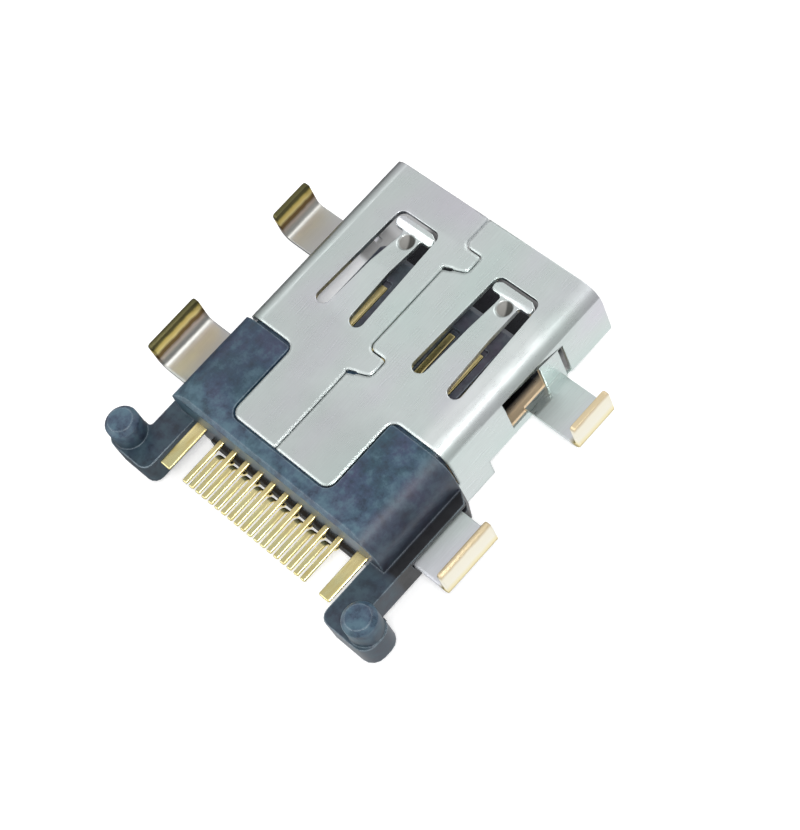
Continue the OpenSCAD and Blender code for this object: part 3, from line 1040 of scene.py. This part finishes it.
@dataclass
class Housing:
    """Moulded housing with its ears, arms and locating posts, and the tongue."""

    edge: float = 0.02
    tongue_edge: float = 0.03
    ledge_rear: float = 18.05
    ledge_reach: float = 0.1
    ledge_half: float = 5.5
    ledge_top: float = 2.0
    ledge_back: float = 0.55
    finish: MouldedResin = field(default_factory=MouldedResin)
    tongue_finish: MouldedResin = field(default_factory=lambda: MouldedResin(
        name="dark_resin", slate=(0.062, 0.070, 0.092), teal=(0.050, 0.068, 0.084),
        purple=(0.070, 0.062, 0.090), fleck=(0.110, 0.120, 0.140), skin_um=3.0,
        low=Zone((("Z", 3.9, 2.7),), 0.0)))

    def fit_ledge(self, mesh: bpy.types.Mesh) -> None:
        """Moves the rear of the ledge under the tails forwards by ledge_back, as in the photograph.

        The rear is every point within ledge_reach of the depth ledge_rear, within
        ledge_half of the middle plane and below ledge_top.

        Args:
            mesh: The housing's copied mesh.
        """
        points, depth = read_points(mesh)
        own = np.abs(depth - self.ledge_rear) < self.ledge_reach
        own &= (np.abs(points[:, 0]) < self.ledge_half) & (points[:, 2] < self.ledge_top)
        points[own, 1] -= self.ledge_back
        write_points(mesh, points)

    def build(self) -> None:
        """Rounds the moulded edges, fits the ledge and gives both mouldings their resin."""
        body = formed_copy("housing", "housing_moulded", self.edge)
        self.fit_ledge(body.data)
        settle(body, self.finish.material())
        tongue = formed_copy("tongue", "tongue_moulded", self.tongue_edge)
        settle(tongue, self.tongue_finish.material())


@dataclass
class ContactComb:
    """The nineteen contact strips and the two ground strips beside them."""

    counts: tuple[tuple[Row, int], ...] = ((Row.UPPER, 10), (Row.LOWER, 9))
    pitch: float = 1.0
    thickness: float = 0.2
    widths: Span = (0.44, 0.34)
    front: float = 5.5
    rear_face: float = 17.25
    tail_end: float = 20.1
    upper_z: float = 2.825
    lower_z: float = 1.775
    tail_z: float = 2.5
    exit_z: float = 1.3
    step: Span = (14.0, 14.7)
    rise: Span = (17.72, 17.90)
    grip: float = 1.6
    taper: float = 0.2
    bend: float = 0.25
    tip_share: float = 0.45
    tip_steps: tuple[float, ...] = (0.06, 0.295, 0.53, 0.765, 1.0)
    strip_x: float = 6.075
    strip_w: float = 0.75
    finish: GoldPlate = field(default_factory=GoldPlate)

    def path(self, row: Row) -> np.ndarray:
        """Path of a row's contacts as (depth, height) corners, with its bends rounded.

        Args:
            row: Which row.

        Returns:
            M x 2 array in millimetres.
        """
        if row is Row.UPPER:
            corners = [[self.front, self.upper_z], [self.step[0], self.upper_z],
                       [self.step[1], self.tail_z], [self.tail_end, self.tail_z]]
        else:
            corners = [[self.front, self.lower_z], [self.step[0], self.lower_z],
                       [self.step[1], self.exit_z], [self.rise[0], self.exit_z],
                       [self.rise[1], self.tail_z], [self.tail_end, self.tail_z]]
        return rounded_bend(np.array(corners), self.bend)

    def sweep(self, path: np.ndarray, x: float, widths: Span) -> tuple[np.ndarray, np.ndarray]:
        """Carries the coined section along a path.

        With the width w, the thickness t and the ease e at path length s, the half
        width is w/2 - t/2*(1 - e) and the half thickness is t/2*e. w goes from the
        blade's to the tail's width along taper, which starts grip inside the rear face.
        Within tip of an end, e is the square root of 1 - (1 - s/tip)^2, which rounds
        both ends, and elsewhere it is 1.

        Args:
            path: M x 2 path of (depth, height), millimetres.
            x: Sideways place of the strip.
            widths: Width of the blade and of the tail.

        Returns:
            Points in metres and quads.
        """
        tip = self.thickness * self.tip_share
        taper = np.array([0.0, self.taper]) + self.rear_face - self.grip
        gaps = np.linalg.norm(np.diff(path, axis=0), axis=1)
        along = np.concatenate([[0.0], np.cumsum(gaps)])
        total = along[-1]
        ends = tip * (1 - np.cos(np.array(self.tip_steps) * math.pi / 2))
        spots = np.unique(np.concatenate([
            ends, total - ends, along[(along > tip) & (along < total - tip)],
            np.interp(taper, path[:, 0], along)]))
        depth = np.interp(spots, along, path[:, 0])
        height = np.interp(spots, along, path[:, 1])
        near = np.clip(np.minimum(spots, total - spots) / tip, 0.0, 1.0)
        ease = np.sqrt(1 - (1 - near) ** 2)
        half_w = np.interp(depth, taper, widths) / 2 - self.thickness / 2 * (1 - ease)
        slope = np.stack([np.gradient(depth, spots), np.gradient(height, spots)], -1)
        slope /= np.linalg.norm(slope, axis=1, keepdims=True)
        section = strip_profile()
        half_t = self.thickness / 2 * ease
        side = section[None, :, 0] * half_w[:, None]
        lift = section[None, :, 1] * half_t[:, None]
        rings = np.stack([
            x + side,
            depth[:, None] - LENGTH / 2 - slope[:, 1:2] * lift,
            height[:, None] + slope[:, 0:1] * lift], axis=-1)
        return swept_grid(rings * MM)

    def build(self) -> None:
        """Builds every strip, plates it and puts it in its node's place."""
        gold = self.finish.material()
        for row, count in self.counts:
            path = self.path(row)
            for i in range(count):
                x = (i - (count - 1) / 2) * self.pitch
                points, quads = self.sweep(path, x, self.widths)
                name = f"contact_{row.value}_{i + 1}"
                piece = put_in(f"{name}_coined", points, quads)
                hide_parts(name)
                settle(piece, gold)
        flat = np.array([[self.rear_face - self.grip, self.tail_z], [self.tail_end, self.tail_z]])
        for side, x in (("left", -self.strip_x), ("right", self.strip_x)):
            points, quads = self.sweep(flat, x, (self.strip_w, self.strip_w))
            piece = put_in(f"ground_strip_{side}_coined", points, quads)
            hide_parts(f"ground_strip_{side}")
            settle(piece, gold)


# ---- studio ----


@dataclass
class Studio:
    """Pale floor, soft lamps, a white surround and the photograph's camera."""

    floor_half: float = 400.0
    floor_drop: float = 0.02
    floor_cells: int = 8
    surround: float = 0.60
    sky: Line = (0.0, 0.75, 0.36, 0.78)
    rear: Line = (0.25, 0.8, 0.0, 0.5)
    glow: Point = (0.80, -0.17, 0.57)
    glow_gain: Line = (0.965, 0.985, 0.0, 0.75)
    # Each lamp's name, place, width in metres and power in watts.
    lamps: tuple[tuple[str, Point, float, float], ...] = (
        ("front_lamp", (15.0, -190.0, 110.0), 0.20, 0.12),
        ("rear_lamp", (100.0, 165.0, 95.0), 0.20, 0.16),
        ("camera_lamp", (-92.0, 28.0, 176.0), 0.05, 0.20),
    )
    lamp_aim: Point = (0.0, 0.0, 2.5)
    eye: Point = (-54.639, 18.694, 93.436)
    aim: Point = (-2.500, 0.05, 3.0)
    roll_deg: float = -30.360
    lens: float = 91.10
    sensor: float = 36.0
    clip: Span = (5.0, 20000.0)
    finish: StudioFloor = field(default_factory=StudioFloor)

    def lay_floor(self) -> None:
        """Lays a flat floor: z = -floor_drop over a square grid of u and v, cell by cell."""
        count = self.floor_cells + 1
        along = np.linspace(-self.floor_half, self.floor_half, count) * MM
        u, v = np.meshgrid(along, along, indexing="xy")
        points = np.stack([u, v, np.full_like(u, -self.floor_drop * MM)], -1).reshape(-1, 3)
        i, j = np.meshgrid(np.arange(self.floor_cells), np.arange(self.floor_cells), indexing="ij")
        first = (i * count + j).ravel()
        quads = np.stack([first, first + 1, first + count + 1, first + count], -1)
        floor = put_in("floor", points, quads)
        floor.data.materials.append(self.finish.material())

    def light(self) -> None:
        """Sets the surround and the soft lamps.

        The camera sees a white surround. Matt faces get the even level surround. Glossy
        faces see a level that rises with height as sky says, plus rear by the share of
        the direction that points to the rear, and glow_gain round the direction glow.
        """
        world = bpy.data.worlds.new("surround")
        bpy.context.scene.world = world
        g = Graph(world, "ShaderNodeOutputWorld")
        rays = g.add("ShaderNodeLightPath").outputs
        way = g.add("ShaderNodeTexCoord").outputs["Generated"]
        along = g.add("ShaderNodeSeparateXYZ", {0: way}).outputs
        near = g.spread(g.dot(way, self.glow), *self.glow_gain)
        mirror = g.sum("ADD", g.spread(along["Y"], *self.rear), near)
        mirror = g.sum("ADD", mirror, g.spread(along["Z"], *self.sky))
        level = g.product(g.sum("SUBTRACT", mirror, self.surround), rays["Is Glossy Ray"])
        level = g.sum("ADD", level, self.surround)
        seen = g.sum("MAXIMUM", rays["Is Camera Ray"], rays["Is Transmission Ray"])
        level = g.sum("MAXIMUM", level, seen)
        back = g.add("ShaderNodeBackground", {"Color": WHITE, "Strength": level})
        g.tree.links.new(back.outputs[0], g.output.inputs["Surface"])
        for name, spot, size, power in self.lamps:
            lamp = bpy.data.lights.new(name, "AREA")
            lamp.shape = "DISK"
            lamp.size = size
            lamp.energy = power
            piece = link(name, lamp)
            piece.location = Vector(spot) * MM
            aim = Vector(self.lamp_aim) * MM - piece.location
            piece.rotation_euler = aim.to_track_quat("-Z", "Y").to_euler()

    def aim_camera(self) -> None:
        """Puts the camera at the photograph's place, aimed and rolled as fitted."""
        lens = bpy.data.cameras.new("photo_view")
        lens.lens = self.lens
        lens.sensor_width = self.sensor
        lens.clip_start, lens.clip_end = in_metres(self.clip)
        eye, aim = Vector(self.eye) * MM, Vector(self.aim) * MM
        look = (aim - eye).normalized()
        right = look.cross(Vector((0.0, 0.0, 1.0))).normalized()
        up = right.cross(look)
        roll = math.radians(self.roll_deg)
        turned_right = right * math.cos(roll) + up * math.sin(roll)
        turned_up = up * math.cos(roll) - right * math.sin(roll)
        pose = Matrix((turned_right, turned_up, -look)).transposed().to_4x4()
        pose.translation = eye
        camera = link("photo_view", lens)
        camera.matrix_world = pose
        bpy.context.scene.camera = camera

    def build(self) -> None:
        """Sets up everything that isn't the part."""
        self.lay_floor()
        self.light()
        self.aim_camera()
        bpy.context.scene.view_settings.view_transform = "Standard"
        log.info("studio: floor, surround, %d lamps and camera", len(self.lamps))


def main() -> None:
    """Builds the studio and the assemblies in order; each piece logs its face count."""
    logging.basicConfig(level=logging.INFO, format="%(name)s: %(message)s", stream=sys.stdout)
    Studio().build()
    Shell().build()
    Housing().build()
    ContactComb().build()


if __name__ == "__main__":
    main()
